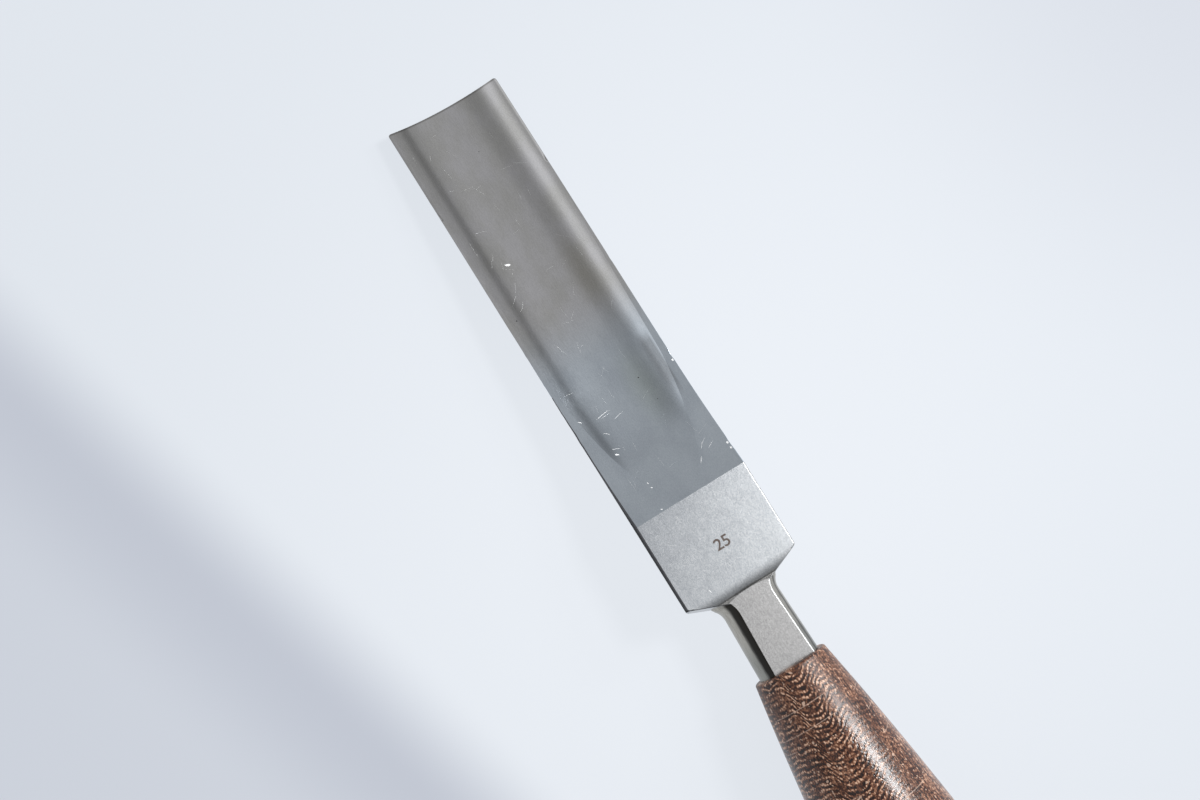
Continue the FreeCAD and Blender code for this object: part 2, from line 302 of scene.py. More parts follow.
def blade_slab(materials):
    """Blade up to the neck as one closed mesh: the ground part first, then the plain part."""
    b = Builder()
    first = np.concatenate([TIP_CORNER * (1 - np.cos(np.linspace(0, math.pi / 2, 7))),
                            stations((TIP_CORNER, BEVEL, 12), (BEVEL, 84.0, 100))[1:],
                            GRIND - np.array(RUN_OUT)])
    corner = np.sin(np.linspace(0, math.pi / 2, 9))[1:]
    second = np.concatenate([stations((GRIND, ROLL_X - 0.1, 24), (ROLL_X - 0.1, CORNER_START, 1)),
                             CORNER_START + (CORNER_STOP - CORNER_START) * corner,
                             stations((CORNER_STOP, FLAT_X, 18), (FLAT_X, NECK_X, 6),
                                      (NECK_X, NECK_X + 0.5, 1))[1:]])
    second = np.unique(second.round(6))
    edges = hollow_edge(first)
    for places, full in ((first, True), (second, False)):
        tops, backs = [], []
        for number, x in enumerate(places):
            half, square = outline(x)
            y, left, right = across(x, half, square, edges[number] if x < GRIND else 0.0, full)
            z = np.minimum(land(x), hollow(x, y)) if full else np.full_like(y, face(x))
            z = z - dropped(y, half, left, right, square)
            near_edge = np.clip((np.abs(y) - half + 1.2) / 1.2, 0.0, 1.0)
            wear = np.where(y < 0, worn(x, -1), worn(x, 1)) * near_edge * -np.sign(y)
            y_low = y * (outline(max(x - WALL_SLOPE, min(x, 2.0)))[0] - WALL_DRAFT) / half
            low = back(x, np.clip(y_low, -HALF, HALF))
            if x > NECK_X - 0.6:
                z = z + JOIN_LIFT
            if x > NECK_X:
                low = np.zeros_like(y)
            tops.append(np.stack([np.full_like(y, x), y + wear, z], 1))
            backs.append(np.stack([np.full_like(y, x), y_low, low], 1))
        tops, backs = np.array(tops), np.array(backs)
        columns = tops.shape[1]

        def top_patch(i, k):
            if k < ROUND_COLS - 1 or k >= columns - ROUND_COLS:
                return PATCH["round"]
            if full:
                inside = ROUND_COLS - 1 + LAND_COLS <= k < columns - ROUND_COLS - LAND_COLS
                return PATCH["hollow"] if inside else PATCH["land"]
            return PATCH["neck_flat"] if places[i] >= FLAT_X - 0.01 else PATCH["plain"]

        b.grid(tops, top_patch)
        b.grid(backs, lambda i, k: PATCH["bevel"] if places[i] < BEVEL - 0.01 else PATCH["back"], flip=True)
        for column, flip in ((0, True), (-1, False)):
            wall = np.stack([tops[:, column], backs[:, column]], 1)
            b.grid(wall, lambda i, k: PATCH["shoulder" if places[i] > CORNER_STOP - 0.01 else "side"], flip=flip)
        end, patch = (0, "side") if full else (-1, "tang")
        b.grid(np.stack([tops[end], backs[end]], 0), PATCH[patch])
    return b.build("blade_slab", materials)


def neck_radius(x):
    """Radius of the neck: a ridge that dies into the blade's back, a short flare, then slowly wider."""
    if x < NECK_X:
        rise = NECK_R - SPINE_R
        sweep = (SPINE_LENGTH ** 2 + rise ** 2) / (2 * rise)
        return NECK_R - sweep + math.sqrt(sweep ** 2 - (NECK_X - x) ** 2)
    if x < NECK_X + FLARE_LENGTH:
        t = (x - NECK_X) / FLARE_LENGTH
        return NECK_R + (ROOT_R - NECK_R) * (1 - (1 - t) ** 2)
    return ROOT_R + (NECK_R - ROOT_R) * (x - NECK_X - FLARE_LENGTH) / (NECK_END - NECK_X - FLARE_LENGTH)


def flare(x):
    """Share by which the neck widens into the shoulder on both sides."""
    near = 1 - min(max((x - NECK_X + 0.7) / 2.8, 0.0), 1.0)
    return 0.15 * near ** 2.2 * min(max((x - 108.0) / 5.0, 0.0), 1.0)


def neck_ring(x, radius, flat):
    """Section of the neck: round, with a flat on top whose two edges are rounded, the right one more."""
    ring, centres = [], []
    flat = min(flat, radius - 0.02)
    for soft in (0.45, 0.22):
        soft = min(soft, (radius - flat) * 0.8)
        centres.append((math.sqrt(max((radius - soft) ** 2 - (flat - soft) ** 2, 1e-6)), flat - soft, soft))
    (y_r, z_r, s_r), (y_l, z_l, s_l) = centres
    for t in np.concatenate([[-1, -0.985], np.linspace(-0.85, 0.85, 9), [0.985, 1]]):
        ring.append((x, y_r * (t + 1) / 2 - y_l * (1 - t) / 2, flat))
    turn = math.atan2(z_r, y_r)
    for t in np.linspace(math.pi / 2, turn, 7)[1:]:
        ring.append((x, y_r + s_r * math.cos(t), z_r + s_r * math.sin(t)))
    turn_l = math.pi - math.atan2(z_l, y_l)
    top_sine = math.sin(turn)
    for t in np.linspace(turn, turn_l - 2 * math.pi, 73)[1:]:
        low = 1 - (max(math.sin(t), 0.0) / top_sine) ** 2 if math.sin(t) > 0 else math.cos(t) ** 2
        ring.append((x, radius * math.cos(t) * (1 + flare(x) * max(low, 0.0)), radius * math.sin(t)))
    for t in np.linspace(turn_l, math.pi / 2, 7)[1:-1]:
        ring.append((x, -y_l + s_l * math.cos(t), z_l + s_l * math.sin(t)))
    return ring


# Patches round a ring of the neck, in the order of its points
RING_PATCHES = ("neck_flat",) * 12 + ("neck_edge",) * 6 + ("neck_round",) * 72 + ("neck_edge",) * 6
# The flat lies lower inside the blade and comes up to its level over a short way
SUNK, SUNK_END = 0.3, 0.35


def neck(materials):
    """Neck and tang as one closed mesh."""
    b = Builder()
    flare_end = NECK_X + FLARE_LENGTH
    places = stations((NECK_X - SPINE_LENGTH, 110.0, 26), (110.0, NECK_X, 14), (NECK_X, flare_end, 10),
                      (flare_end, NECK_END, 14))
    rings = [neck_ring(x, neck_radius(x), FLAT - SUNK * min(max((NECK_X - x) / SUNK_END, 0.0), 1.0))
             for x in places]
    b.grid(np.array(rings), lambda i, k: PATCH[RING_PATCHES[k]], flip=True, closed=True)
    b.disc(rings[0], PATCH["tang"], flip=True)
    # face against the handle, then the tang with its bevelled end
    turns = [math.atan2(p[2], p[1]) for p in rings[-1]]
    loops = [rings[-1]]
    tang_end = NECK_END + TANG_LENGTH
    for x, radius in ((NECK_END, TANG_R), (tang_end - TANG_CHAMFER, TANG_R), (tang_end, TANG_R - TANG_CHAMFER)):
        loops.append([(x, radius * math.cos(t), radius * math.sin(t)) for t in turns])
    b.grid(np.array(loops), PATCH["tang"], flip=True, closed=True)
    b.disc(loops[-1], PATCH["tang"])
    return b.build("blade_neck", materials)


# ---------------------------------------------------------------- handle
FRONT_R, FRONT_ROUND = 7.85, 0.5
TAPER, BELLY_TAPER, NOSE_SWEEP = math.radians(9.6), math.radians(6.4), 710.0
BELLY_R, BUTT_R, BUTT_ROUND = 15.5, 13.9, 5.0
BUTT_X = LENGTH - BUTT_ROUND
BORE_R, BORE_DEPTH, BORE_POINT = 4.08, 57.5, 2.4
# The outline stays this share inside the solid's, and so within its box
WITHIN = 0.999


def handle_profile():
    """Outline of the handle as (x, radius): rounded front, nose, swelling belly and rounded struck end."""
    points = [(NECK_END, BORE_R), (NECK_END, FRONT_R - FRONT_ROUND)]
    start = NECK_END + FRONT_ROUND
    for t in np.linspace(0.0, math.pi / 2 - TAPER, 6)[1:]:
        points.append((start - FRONT_ROUND * math.cos(t), FRONT_R - FRONT_ROUND + FRONT_ROUND * math.sin(t)))
    for a in np.linspace(TAPER, BELLY_TAPER, 50):
        points.append((start + NOSE_SWEEP * (math.sin(TAPER) - math.sin(a)),
                       FRONT_R + NOSE_SWEEP * (math.cos(a) - math.cos(TAPER))))
    nose_x, nose_r = points[-1]
    sweep = (BELLY_R - nose_r) / (1 - math.cos(BELLY_TAPER))
    for a in np.linspace(BELLY_TAPER, 0, 40)[1:]:
        points.append((nose_x + sweep * (math.sin(BELLY_TAPER) - math.sin(a)),
                       BELLY_R - sweep * (1 - math.cos(a))))
    belly_x = points[-1][0]
    run, fall = BUTT_X - belly_x, BELLY_R - BUTT_R
    sweep = (run ** 2 + fall ** 2) / (2 * fall)
    for ahead in np.linspace(0, run, 30)[1:]:
        points.append((belly_x + ahead, BELLY_R - sweep + math.sqrt(sweep ** 2 - ahead ** 2)))
    for a in np.linspace(0, math.pi / 2, 14)[1:]:
        points.append((BUTT_X + BUTT_ROUND * math.sin(a), BUTT_R - BUTT_ROUND + BUTT_ROUND * math.cos(a)))
    return [(x, r * WITHIN) for x, r in points]


def handle_mesh(material):
    """Turned handle with its blind bore, as one closed mesh."""
    b = Builder()
    turns = np.linspace(0, 2 * math.pi, 193)[:-1]
    bore_end = NECK_END + BORE_DEPTH
    bore = ((NECK_END, BORE_R * WITHIN), (bore_end, BORE_R), (bore_end + BORE_POINT, 0.02))
    for profile, outside in ((handle_profile(), True), (bore, False)):
        rings = [[(x, r * math.cos(t), r * math.sin(t)) for t in turns] for x, r in profile]
        b.grid(np.array(rings), 0, flip=outside, closed=True)
        b.disc(rings[-1], 0)
    return b.build("gouge_handle", [material])


# ---------------------------------------------------------------- materials
def nodes_of(name, metallic=0.0):
    """New material with short hands for its nodes, and its shader."""
    material = bpy.data.materials.new(name)
    material.use_nodes = True
    shader = material.node_tree.nodes["Principled BSDF"]
    shader.inputs["Metallic"].default_value = metallic
    return material, Tree(material.node_tree), shader


class Tree:
    """Short hands for shader nodes."""

    def __init__(self, tree):
        self.tree = tree

    def node(self, kind, **settings):
        item = self.tree.nodes.new(kind)
        for key, setting in settings.items():
            setattr(item, key, setting)
        return item

    def link(self, out, into):
        self.tree.links.new(out, into)

    def put(self, socket, value):
        """Sets a socket to a number or colour, or links another node's output to it."""
        if isinstance(value, (int, float, tuple)):
            socket.default_value = value
        else:
            self.link(value, socket)

    def math(self, kind, a, b=0.0, clamp=False):
        item = self.node("ShaderNodeMath", operation=kind, use_clamp=clamp)
        for socket, value in zip(item.inputs, (a, b)):
            self.put(socket, value)
        return item.outputs[0]

    def times(self, a, b, clamp=False):
        return self.math("MULTIPLY", a, b, clamp)

    def plus(self, a, b):
        return self.math("ADD", a, b)

    def minus(self, a, b):
        return self.math("SUBTRACT", a, b)

    def range(self, value, low, high, to_low=0.0, to_high=1.0, smooth=True):
        item = self.node("ShaderNodeMapRange", interpolation_type="SMOOTHSTEP" if smooth else "LINEAR")
        for socket, v in zip(item.inputs, (value, low, high, to_low, to_high)):
            self.put(socket, v)
        return item.outputs[0]

    def window(self, value, start, full, last, end):
        """Comes up from start to full and goes down again from last to end."""
        return self.times(self.range(value, start, full), self.range(value, last, end, 1.0, 0.0))

    def mix(self, factor, a, b):
        item = self.node("ShaderNodeMix", data_type="RGBA")
        self.put(item.inputs[0], factor)
        self.put(item.inputs[6], a)
        self.put(item.inputs[7], b)
        return item.outputs[2]

    def noise(self, vector, detail, rough, distortion=0.0):
        item = self.node("ShaderNodeTexNoise")
        self.put(item.inputs["Vector"], vector)
        for name, value in (("Scale", 1.0), ("Detail", detail), ("Roughness", rough), ("Distortion", distortion)):
            item.inputs[name].default_value = value
        return item.outputs[0]

    def scaled(self, vector, x, y, z):
        item = self.node("ShaderNodeVectorMath", operation="MULTIPLY")
        self.put(item.inputs[0], vector)
        item.inputs[1].default_value = (x, y, z)
        return item.outputs[0]

    def tool(self):
        """Tool-frame millimetres of the shaded point, and its three parts."""
        coord = self.node("ShaderNodeTexCoord")
        move = self.node("ShaderNodeVectorMath", operation="SUBTRACT")
        self.link(coord.outputs["Object"], move.inputs[0])
        move.inputs[1].default_value = tuple(START)
        turn = self.node("ShaderNodeVectorRotate", rotation_type="Y_AXIS")
        self.link(move.outputs[0], turn.inputs["Vector"])
        turn.inputs["Angle"].default_value = LEAN
        scale = self.scaled(turn.outputs[0], 1000.0, 1000.0, 1000.0)
        split = self.node("ShaderNodeSeparateXYZ")
        self.link(scale, split.inputs[0])
        return scale, *split.outputs[:3]

    def curve(self, value, low, high, stops, top):
        """Soft curve through a few (place, level) stops, between zero and a top level."""
        item = self.node("ShaderNodeFloatCurve")
        self.put(item.inputs["Value"], self.range(value, low, high, smooth=False))
        points = item.mapping.curves[0].points
        while len(points) < len(stops):
            points.new(0.5, 0.5)
        for point, (place, level) in zip(points, stops):
            point.location = ((place - low) / (high - low), level / top)
            point.handle_type = "AUTO_CLAMPED"
        item.mapping.update()
        return self.times(item.outputs[0], top)

    def ramp(self, value, stops):
        item = self.node("ShaderNodeValToRGB")
        self.put(item.inputs[0], value)
        elements = item.color_ramp.elements
        while len(elements) < len(stops):
            elements.new(0.5)
        for element, (place, colour) in zip(elements, stops):
            element.position, element.color = place, tuple(colour) + (1,)
        return item.outputs[0]

    def spot(self, vector, centre, share):
        """A soft round spot: one at its centre, nothing past one over each share."""
        move = self.node("ShaderNodeVectorMath", operation="SUBTRACT")
        self.put(move.inputs[0], vector)
        move.inputs[1].default_value = centre
        length = self.node("ShaderNodeVectorMath", operation="LENGTH")
        self.link(self.scaled(move.outputs[0], *share), length.inputs[0])
        return self.range(length.outputs["Value"], 0.0, 1.0, 1.0, 0.0)

    def dot(self, vector, direction):
        item = self.node("ShaderNodeVectorMath", operation="DOT_PRODUCT")
        self.put(item.inputs[0], vector)
        item.inputs[1].default_value = tuple(direction)
        return item.outputs["Value"]

    def bump(self, height, strength, distance):
        item = self.node("ShaderNodeBump")
        item.inputs["Strength"].default_value = strength
        item.inputs["Distance"].default_value = distance
        self.link(height, item.inputs["Height"])
        return item.outputs[0]


def polished_steel():
    """Hollow, lands and grinding bevel: neutral towards the cutting edge, bluish towards the grind line."""
    material, t, shader = nodes_of("polished_steel", 1.0)
    p, x, y, _ = t.tool()
    cloud = t.range(t.noise(t.scaled(p, 0.10, 0.16, 0.16), 3.0, 0.55), 0.35, 0.65)
    warm = t.mix(cloud, (0.52, 0.52, 0.515, 1), (0.585, 0.585, 0.605, 1))
    cool = t.mix(cloud, (0.52, 0.585, 0.66, 1), (0.59, 0.66, 0.735, 1))
    colour = t.mix(t.range(x, 46.0, 62.0), warm, cool)
    # an olive bloom beside the right land and a greenish one lower down
    bloom = t.spot(p, (43.0, 6.6, 0.0), (0.085, 0.24, 0.0))
    colour = t.mix(t.times(bloom, 0.55), colour, (0.41, 0.39, 0.33, 1))
    green = t.spot(p, (69.0, 5.0, 0.0), (0.08, 0.20, 0.0))
    colour = t.mix(t.times(green, 0.5), colour, (0.44, 0.51, 0.48, 1))
    # the right land is duller where the hollow's edge swings in
    dull = t.times(t.window(x, 59.0, 62.6, 69.0, 76.0), t.window(y, 7.8, 9.2, 10.5, 11.0))
    colour = t.mix(dull, colour, (0.32, 0.355, 0.395, 1))
    hairs = t.noise(t.scaled(p, 0.55, 9.0, 9.0), 3.0, 0.7)
    grain = t.noise(t.scaled(p, 3.0, 5.0, 5.0), 2.0, 0.6)
    both = t.plus(t.times(hairs, 0.5), t.times(grain, 0.5))
    colour = t.mix(0.12, colour, t.mix(t.range(both, 0.35, 0.65), (0.30, 0.30, 0.30, 1), (0.95, 0.95, 0.95, 1)))
    # the very edge looks dark
    colour = t.mix(t.range(x, 0.15, 0.5, 0.6, 0.0), colour, (0.16, 0.15, 0.14, 1))
    t.put(shader.inputs["Base Color"], colour)
    t.put(shader.inputs["Roughness"], t.range(hairs, 0.3, 0.7, 0.07, 0.105))
    t.put(shader.inputs["Normal"], t.bump(both, 0.10, 0.00002))
    return material


def satin_steel():
    """Plain face and flat of the neck: fine blasted grain with hair marks, and painted light that brightens them
    towards the right; the face also grows lighter towards the shoulder.
    """
    material, t, shader = nodes_of("satin_steel", 1.0)
    p, x, y, _ = t.tool()
    cloud = t.noise(t.scaled(p, 0.16, 0.22, 0.22), 4.0, 0.6, 0.6)
    # painted light: the face is coloured brighter from left to right, standing for light from the right
    across = t.range(y, -13.0, 12.0, smooth=False)
    along = t.range(x, 92.0, 111.0, 0.0, 0.35, smooth=False)
    clear = t.plus(t.plus(t.times(across, 0.55), along), t.times(t.minus(cloud, 0.5), 1.1))
    colour = t.mix(t.range(clear, -0.05, 0.95, smooth=False), (0.45, 0.485, 0.53, 1), (0.75, 0.79, 0.83, 1))
    # painted light: the flat of the neck is likewise coloured brighter to the right
    flat = t.mix(across, (0.41, 0.405, 0.405, 1), (0.58, 0.575, 0.57, 1))
    colour = t.mix(t.range(x, 112.6, 113.6), colour, flat)
    # the roll ends in a painted shadow, a dark arch, which leaves the corners of the flat round
    shadow_arch = t.times(t.math("POWER", t.math("DIVIDE", t.math("ABSOLUTE", y), 4.8), 2.5), 0.6)
    past = t.minus(t.minus(x, 113.2), shadow_arch)
    colour = t.mix(t.window(past, -0.5, 0.0, 0.08, 0.28), colour, (0.075, 0.075, 0.07, 1))
    # painted shade: the end of the roll just before the arch is darkened as well
    inside = t.times(t.range(x, 112.9, 113.3), t.range(past, -0.2, 0.1, 0.9, 0.0))
    colour = t.mix(inside, colour, (0.12, 0.115, 0.105, 1))
    fine = t.noise(t.scaled(p, 7.0, 9.0, 9.0), 2.0, 0.6)
    wisp = t.noise(t.scaled(p, 0.8, 1.6, 1.6), 5.0, 0.75, 2.2)
    grain = t.plus(t.times(fine, 0.5), t.times(wisp, 0.5))
    colour = t.mix(0.30, colour, t.mix(t.range(grain, 0.40, 0.62), (0.25, 0.26, 0.27, 1), (1, 1, 1, 1)))
    t.put(shader.inputs["Base Color"], colour)
    t.put(shader.inputs["Roughness"], t.range(fine, 0.25, 0.75, 0.21, 0.26))
    t.put(shader.inputs["Normal"], t.bump(grain, 0.25, 0.00004))
    return material


def ground_steel(name, dark, pale, rough, slant=1.0):
    """Sides, back, shoulders and edges: grinding lines; a low slant keeps steel dark at a grazing look."""
    material, t, shader = nodes_of(name, 1.0)
    p = t.tool()[0]
    lines = t.noise(t.scaled(p, 0.35, 6.0, 6.0), 3.0, 0.65)
    cloud = t.noise(t.scaled(p, 0.12, 0.25, 0.25), 3.0, 0.6)
    mixed = t.plus(t.times(lines, 0.55), t.times(cloud, 0.45))
    t.put(shader.inputs["Base Color"], t.mix(t.range(mixed, 0.35, 0.65), dark, pale))
    t.put(shader.inputs["Roughness"], t.range(lines, 0.3, 0.7, rough - 0.05, rough + 0.07))
    shader.inputs["Specular Tint"].default_value = (slant, slant, slant, 1)
    t.put(shader.inputs["Normal"], t.bump(lines, 0.2, 0.00004))
    return material


def neck_steel():
    """Round of the neck: a painted dark reflection in a band below each edge of the flat, brighter further round.
    """
    material, t, shader = nodes_of("neck_steel", 1.0)
    p, x, y, z = t.tool()
    turn = t.times(t.math("ARCTAN2", z, t.math("ABSOLUTE", y)), 180 / math.pi)
    lines = t.noise(t.scaled(p, 0.5, 3.5, 3.5), 3.0, 0.65)
    rough_edge = t.plus(turn, t.times(t.minus(lines, 0.5), 10.0))
    left_band = t.range(rough_edge, 27.0, 36.0)
    right_band = t.times(t.range(rough_edge, 27.0, 32.0), t.range(rough_edge, 35.0, 39.0, 0.75, 0.05))
    right_side = t.math("GREATER_THAN", y, 0.0)
    band = t.plus(t.times(left_band, t.minus(1.0, right_side)), t.times(right_band, right_side))
    bare = t.mix(t.range(lines, 0.35, 0.65), (0.34, 0.32, 0.28, 1), (0.47, 0.45, 0.405, 1))
    # greyer towards the handle
    handle_side = t.range(t.plus(x, t.times(lines, 3.0)), 122.0, 129.0, 0.0, 0.55)
    bare = t.mix(handle_side, bare, (0.19, 0.20, 0.185, 1))
    # painted dark reflection: the band is coloured near black
    colour = t.mix(t.times(band, 0.97), bare, (0.028, 0.026, 0.023, 1))
    t.put(shader.inputs["Base Color"], colour)
    t.put(shader.inputs["Roughness"], t.range(lines, 0.3, 0.7, 0.26, 0.36))
    t.put(shader.inputs["Normal"], t.bump(lines, 0.2, 0.00005))
    return material


# Height of the wavy layers round the handle, as angle from the top and millimetres towards the struck end
LAYER_WAVES = ((-180, 0.3), (-155, 2.4), (-138, 3.2), (-122, 2.3), (-103, 0.5), (-77, 0.1), (-44, 0.1), (-28, 2.9),
               (-15, 3.6), (-4, 3.0), (8, 1.6), (22, 0.9), (42, 1.4), (58, 2.3), (74, 1.3), (98, 0.2), (122, 2.4),
               (138, 3.3), (154, 2.4), (180, 0.3))
# Millimetres from layer to layer, and from thread to thread
LAYER, THREAD = 1.12, 0.62
# Pale threads lying across the handle: place along it, slant in mm a degree, first and last angle
THREADS = ((137.3, -0.004, -75, 8), (141.3, -0.006, -85, 6), (141.4, -0.03, 42, 66), (145.5, -0.025, 40, 70),
           (151.0, -0.035, 38, 72), (144.0, -0.004, -84, -58), (156.4, 0.004, -70, -20), (161.2, -0.01, -10, 45))
# From dark resin to pale thread
BROWNS = ((0.08, (0.008, 0.001, 0.0005)), (0.34, (0.043, 0.010, 0.003)), (0.55, (0.152, 0.056, 0.027)),
          (0.76, (0.360, 0.178, 0.102)), (0.98, (0.710, 0.460, 0.325)))


def laminate():
    """Brown fabric laminate: wavy layers of woven cloth cut through by the turned shape."""
    material, t, shader = nodes_of("phenolic_laminate")
    p, x, y, z = t.tool()
    radians = t.math("ARCTAN2", y, z)
    turn = t.times(radians, 180 / math.pi)
    radius = t.math("SQRT", t.plus(t.times(y, y), t.times(z, z)))
    arc = t.times(radians, radius)
    slow = t.noise(t.scaled(p, 0.22, 0.32, 0.32), 2.0, 0.5)
    quick = t.noise(t.scaled(p, 0.9, 1.1, 1.1), 2.0, 0.5)
    wave = t.curve(turn, -180.0, 180.0, LAYER_WAVES, 4.0)
    place = t.minus(x, wave)
    place = t.plus(place, t.times(t.minus(slow, 0.5), 2.0))
    place = t.plus(place, t.times(t.minus(quick, 0.5), 0.75))
    # on the flat of the struck end the layers lie straight across
    end = t.range(x, 248.6, 249.7)
    on_end = t.plus(z, t.times(t.minus(slow, 0.5), 2.6))
    place = t.plus(t.times(place, t.minus(1.0, end)), t.times(on_end, end))
    arc = t.plus(t.times(arc, t.minus(1.0, end)), t.times(y, end))
    layers = t.math("SINE", t.times(place, 2 * math.pi / LAYER))
    threads = t.math("SINE", t.times(t.plus(arc, quick), 2 * math.pi / THREAD))
    strength = t.range(t.noise(t.scaled(p, 0.55, 0.7, 0.7), 2.0, 0.6), 0.36, 0.64, 0.0, 1.25)
    weave = t.plus(layers, t.times(t.times(threads, layers), 0.7))
    cloth = t.times(weave, strength)
    grain = t.minus(t.noise(t.scaled(p, 2.3, 2.6, 2.6), 3.0, 0.75), 0.5)
    streak = t.minus(t.noise(t.scaled(p, 0.45, 3.4, 3.4), 2.0, 0.6), 0.5)
    # on two sides streaks along the threads take over from the waves
    warp_side = t.range(t.math("SINE", t.times(t.minus(turn, 8.0), math.pi / 90)), 0.1, 0.65)
    warp_side = t.times(warp_side, t.minus(1.0, end))
    tone = t.plus(t.times(cloth, t.range(warp_side, 0.0, 1.0, 0.25, 0.06)), 0.48)
    tone = t.plus(tone, t.times(grain, 1.15))
    tone = t.plus(tone, t.times(streak, t.range(warp_side, 0.0, 1.0, 0.3, 1.0)))
    tone = t.plus(tone, t.times(t.minus(slow, 0.5), 0.45))
    tone = t.plus(t.times(t.minus(tone, 0.5), 1.6), 0.49)
    # painted highlight: the side 34 to 60 degrees round from the top is made lighter, widening the handle's
    # highlight
    tone = t.plus(tone, t.range(turn, 34.0, 60.0, 0.0, 0.07))
    colour = t.ramp(tone, BROWNS)
    # pale flecks where a thread ends in the surface
    fleck = t.range(t.noise(t.scaled(p, 1.1, 1.5, 1.5), 1.0, 0.5), 0.665, 0.71)
    colour = t.mix(t.times(fleck, 0.8), colour, (0.66, 0.46, 0.35, 1))
    thread = None
    for at, slant, first, last in THREADS:
        gap = t.math("ABSOLUTE", t.minus(t.minus(x, at), t.times(turn, slant)))
        line = t.times(t.range(gap, 0.03, 0.13, 1.0, 0.0), t.window(turn, first, first + 6.0, last - 6.0, last))
        thread = line if thread is None else t.math("MAXIMUM", thread, line)
    thread = t.times(thread, t.range(grain, -0.2, 0.12, 0.15, 0.8))
    colour = t.mix(thread, colour, (0.60, 0.42, 0.33, 1))
    t.put(shader.inputs["Base Color"], colour)
    # dull at the front, glossier further back
    gloss = t.range(x, 132.0, 150.0, 0.40, 0.215)
    t.put(shader.inputs["Roughness"], t.plus(t.range(grain, -0.3, 0.3, -0.04, 0.05), gloss))
    shader.inputs["Specular IOR Level"].default_value = 0.55
    height = t.plus(t.times(cloth, 0.45), t.plus(grain, t.times(thread, 0.6)))
    t.put(shader.inputs["Normal"], t.bump(height, 0.55, 0.00005))
    return material


def plain(name, colour, metallic, rough):
    """Finish of the small marks, with a little mottle."""
    material, t, shader = nodes_of(name, metallic)
    p = t.tool()[0]
    mottle = t.noise(t.scaled(p, 4.0, 4.0, 4.0), 2.0, 0.6)
    dark = tuple(c * 0.75 for c in colour) + (1,)
    t.put(shader.inputs["Base Color"], t.mix(t.range(mottle, 0.3, 0.7), dark, tuple(colour) + (1,)))
    t.put(shader.inputs["Roughness"], t.range(mottle, 0.3, 0.7, rough - 0.05, rough + 0.05))
    return material


finishes = {
    "polished": polished_steel(),
    "satin": satin_steel(),
    "ground": ground_steel("ground_steel", (0.50, 0.51, 0.52, 1), (0.66, 0.67, 0.68, 1), 0.30),
    # painted dark reflection: the sides and the left rounded edge are coloured near black, with a low slant,
    # standing for the dark they mirror
    "painted_dark_side": ground_steel("dark_side_steel", (0.09, 0.09, 0.095, 1), (0.17, 0.17, 0.18, 1), 0.30, 0.14),
    "neck": neck_steel(),
    "edge": ground_steel("edge_steel", (0.38, 0.385, 0.39, 1), (0.47, 0.475, 0.48, 1), 0.46)}
FINISH_NUMBER = {name: number for number, name in enumerate(finishes)}
FINISH_OF = {"hollow": "polished", "land": "polished", "bevel": "polished", "plain": "satin", "neck_flat": "satin",
             "side": "painted_dark_side", "shoulder": "ground", "back": "ground", "tang": "ground", "neck_round": "neck",
             "neck_edge": "edge"}
DARK_EDGE_X = 62.0
# Pairs of patches that shade smoothly into each other, though their finishes differ
SOFT_PAIRS = {frozenset((PATCH[a], PATCH[b])) for a, b in (
    ("plain", "round"), ("neck_flat", "round"), ("land", "round"), ("hollow", "round"),
    ("neck_edge", "neck_round"), ("neck_flat", "neck_edge"))}


def finish_at(patch, centre):
    """Finish of a face of the blade; the rounded edges look different on the left and on the right, the left one
    past DARK_EDGE_X taking the sides' painted dark reflection.
    """
    x, left = (np.array(centre) - START) @ AXIS / MM, centre[1] < 0
    if patch == "round" and left:
        return "painted_dark_side" if x > DARK_EDGE_X else "polished"
    if patch == "round":
        return "polished" if x < GRIND else "edge"
    if patch == "neck_edge" and left:
        return "neck"
    return FINISH_OF[patch]


def is_sharp(edge):
    """Creases of the blade: the grind line, steep edges and those between patches."""
    if len(edge.link_faces) != 2:
        return True
    if all(abs((np.array(v.co) - START) @ AXIS / MM - GRIND) < 0.002 for v in edge.verts):
        return True
    pair = frozenset(f.material_index for f in edge.link_faces)
    angle = edge.calc_face_angle(0.0)
    return angle > math.radians(40) or (len(pair) > 1 and pair not in SOFT_PAIRS and angle > math.radians(0.4))


stand_ins = [bpy.data.materials.new(f"patch_{name}") for name in PATCH_NAMES]
slab = blade_slab(stand_ins)
shank = neck(stand_ins)

# the neck grows out of the blade: both are joined into one closed mesh
join = slab.modifiers.new("Join", "BOOLEAN")
join.operation, join.solver, join.object = "UNION", "EXACT", shank
joined = bpy.data.meshes.new_from_object(slab.evaluated_get(bpy.context.evaluated_depsgraph_get()))
blade = in_scene("gouge_blade", joined)
for spare in (slab, shank):
    bpy.data.objects.remove(spare)
bm = bmesh.new()
bm.from_mesh(joined)
bmesh.ops.remove_doubles(bm, verts=bm.verts, dist=1e-6)
bmesh.ops.dissolve_degenerate(bm, edges=bm.edges, dist=1e-6)
for edge in bm.edges:
    edge.smooth = not is_sharp(edge)
numbers = []
for f in bm.faces:
    f.smooth = True
    numbers.append(FINISH_NUMBER[finish_at(PATCH_NAMES[f.material_index], f.calc_center_median())])
bm.to_mesh(joined)
bm.free()
joined.materials.clear()
for material in finishes.values():
    joined.materials.append(material)
joined.polygons.foreach_set("material_index", numbers)
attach(blade, "root")
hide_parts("blade")

grip = handle_mesh(laminate())
for polygon in grip.data.polygons:
    polygon.use_smooth = True
grip.data.set_sharp_from_angle(angle=math.radians(35))
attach(grip, "root")
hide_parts("handle")


# ---------------------------------------------------------------- marks on the steel
def top_of(x, y):
    """Height of the blade's upper face."""
    if x < GRIND:
        return float(np.minimum(land(x), hollow(x, y)))
    return face(x)


